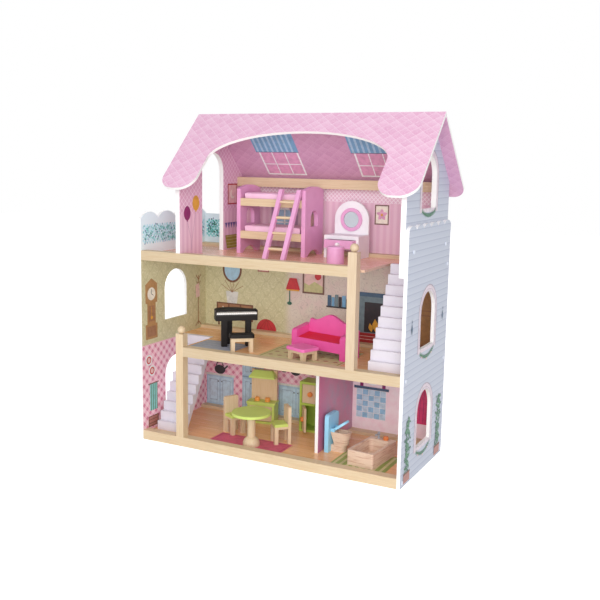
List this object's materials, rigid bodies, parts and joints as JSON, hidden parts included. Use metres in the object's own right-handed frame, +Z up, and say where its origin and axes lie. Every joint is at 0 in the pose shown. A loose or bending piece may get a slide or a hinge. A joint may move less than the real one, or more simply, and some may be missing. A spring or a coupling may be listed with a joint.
{
  "type": "wooden dollhouse",
  "caption": "Open-front wooden dollhouse with stacked floors, side stairs, arched roof and balcony, furnished with loose wooden furniture whose doors, drawer and lid open.",
  "frame": {"origin": "middle of the bounding box's underside, on the surface the house stands on", "axes": "+Z up, -Y is the open front, +X is to the right seen from the front"},
  "size_m": [0.6206, 0.3111, 0.7],
  "materials": {
    "floor_board": "satin paint or printed paper on board",
    "wall_print": "satin paint or printed paper on board",
    "clapboard": "satin paint or printed paper on board",
    "roof_tile": "satin paint or printed paper on board",
    "white_paint": "satin paint or printed paper on board",
    "pine": "bare, lightly oiled",
    "pink_paint": "satin paint or printed paper on board",
    "rose_paint": "satin paint or printed paper on board",
    "red_paint": "satin paint or printed paper on board",
    "green_paint": "satin paint or printed paper on board",
    "orange_paint": "satin paint or printed paper on board",
    "blue_paint": "satin paint or printed paper on board",
    "black_paint": "satin paint or printed paper on board",
    "grey_paint": "satin paint or printed paper on board",
    "screw_cap": "white lacquer",
    "mirror": "silvered acrylic"
  },
  "bodies": {
    "house": {"base_panel": "floor_board", "second_floor_panel": "floor_board", "third_floor_panel": "floor_board", "base_front_bar": "pine", "second_front_bar": "pine", "third_front_bar": "pine", "rear_bars": "pine", "left_wall": "clapboard", "right_wall": "clapboard", "left_gable_wall": "wall_print", "right_gable_wall": "clapboard", "back_panel": "wall_print", "roof_rail": "pine", "roof_front_panel": "roof_tile", "roof_back_panel": "roof_tile", "partition_wall": "wall_print", "left_stairs": "white_paint", "right_stairs": "white_paint", "left_newel_post": "pine", "right_newel_post": "pine", "assembly_screws": "screw_cap"},
    "bunk_bed": {"bed_ends": "pink_paint", "bed_frames": "pine", "bed_mattresses": "pink_paint"},
    "ladder": {"ladder_rails": "pink_paint", "ladder_rungs": "pine"},
    "vanity": {"vanity_body": "white_paint", "vanity_board": "white_paint", "mirror_ring": "pink_paint", "mirror_glass": "mirror"},
    "drawer": {"vanity_drawer": "pink_paint", "drawer_knob": "white_paint"},
    "stool": {"vanity_stool": "pink_paint"},
    "piano": {"piano_body": "black_paint", "piano_keys": "white_paint"},
    "bench": {"bench_frame": "pine", "bench_seat": "black_paint"},
    "sofa": {"sofa_frame": "rose_paint", "sofa_seat": "red_paint"},
    "coffee_table": {"coffee_legs": "pine", "coffee_top": "rose_paint"},
    "stove": {"stove_body": "green_paint", "stove_board": "pine", "stove_hood": "green_paint", "hob_knobs": "orange_paint"},
    "oven_flap": {"oven_door": "pine"},
    "cupboard": {"cupboard_body": "green_paint"},
    "lower_door": {"cupboard_lower_door": "pine"},
    "upper_door": {"cupboard_upper_door": "pine"},
    "dining_table": {"table_pedestal": "pine", "table_top": "green_paint"},
    "left_chair": {"left_chair_frame": "pine", "left_chair_seat": "green_paint"},
    "right_chair": {"right_chair_frame": "pine", "right_chair_seat": "green_paint"},
    "toilet": {"toilet_back": "blue_paint", "toilet_bowl": "pine"},
    "lid": {"toilet_lid": "blue_paint"},
    "tub": {"bathtub": "pine", "bath_taps": "grey_paint"}
  },
  "joints": [
    {"name": "bunk_bed_lift", "type": "slide", "parent": "house", "child": "bunk_bed", "axis": [0, 0, 1], "range_m": [0, 0.03]},
    {"name": "vanity_lift", "type": "slide", "parent": "house", "child": "vanity", "axis": [0, 0, 1], "range_m": [0, 0.03]},
    {"name": "stool_lift", "type": "slide", "parent": "house", "child": "stool", "axis": [0, 0, 1], "range_m": [0, 0.03]},
    {"name": "piano_lift", "type": "slide", "parent": "house", "child": "piano", "axis": [0, 0, 1], "range_m": [0, 0.03]},
    {"name": "bench_lift", "type": "slide", "parent": "house", "child": "bench", "axis": [0, 0, 1], "range_m": [0, 0.03]},
    {"name": "sofa_lift", "type": "slide", "parent": "house", "child": "sofa", "axis": [0, 0, 1], "range_m": [0, 0.03]},
    {"name": "coffee_table_lift", "type": "slide", "parent": "house", "child": "coffee_table", "axis": [0, 0, 1], "range_m": [0, 0.03]},
    {"name": "stove_lift", "type": "slide", "parent": "house", "child": "stove", "axis": [0, 0, 1], "range_m": [0, 0.03]},
    {"name": "cupboard_lift", "type": "slide", "parent": "house", "child": "cupboard", "axis": [0, 0, 1], "range_m": [0, 0.03]},
    {"name": "dining_table_lift", "type": "slide", "parent": "house", "child": "dining_table", "axis": [0, 0, 1], "range_m": [0, 0.03]},
    {"name": "toilet_lift", "type": "slide", "parent": "house", "child": "toilet", "axis": [0, 0, 1], "range_m": [0, 0.03]},
    {"name": "tub_lift", "type": "slide", "parent": "house", "child": "tub", "axis": [0, 0, 1], "range_m": [0, 0.03]},
    {"name": "ladder_pull", "type": "slide", "parent": "house", "child": "ladder", "axis": [0, -1, 0], "range_m": [0, 0.03]},
    {"name": "left_chair_pull", "type": "slide", "parent": "house", "child": "left_chair", "axis": [-0.8988, 0.4384, 0], "range_m": [0, 0.02]},
    {"name": "right_chair_pull", "type": "slide", "parent": "house", "child": "right_chair", "axis": [0.7193, 0.6947, 0], "range_m": [0, 0.025]},
    {"name": "drawer_slide", "type": "slide", "parent": "vanity", "child": "drawer", "axis": [0, -1, 0], "range_m": [-0.015, 0.013]},
    {"name": "oven_hinge", "type": "hinge", "parent": "stove", "child": "oven_flap", "pos_m": [-0.11418, 0.06307, 0.021], "axis": [0.9848, 0.1736, 0], "range_deg": [0, 88]},
    {"name": "lower_door_hinge", "type": "hinge", "parent": "cupboard", "child": "lower_door", "pos_m": [-0.00665, 0.0625, 0.0695], "axis": [0, 0, -1], "range_deg": [-55, 40]},
    {"name": "upper_door_hinge", "type": "hinge", "parent": "cupboard", "child": "upper_door", "pos_m": [-0.00665, 0.0625, 0.0695], "axis": [0, 0, -1], "range_deg": [0, 95]},
    {"name": "lid_hinge", "type": "hinge", "parent": "toilet", "child": "lid", "pos_m": [0.10725, -0.015, 0.0579], "axis": [0, -1, 0], "range_deg": [-36, 54]}
  ]
}
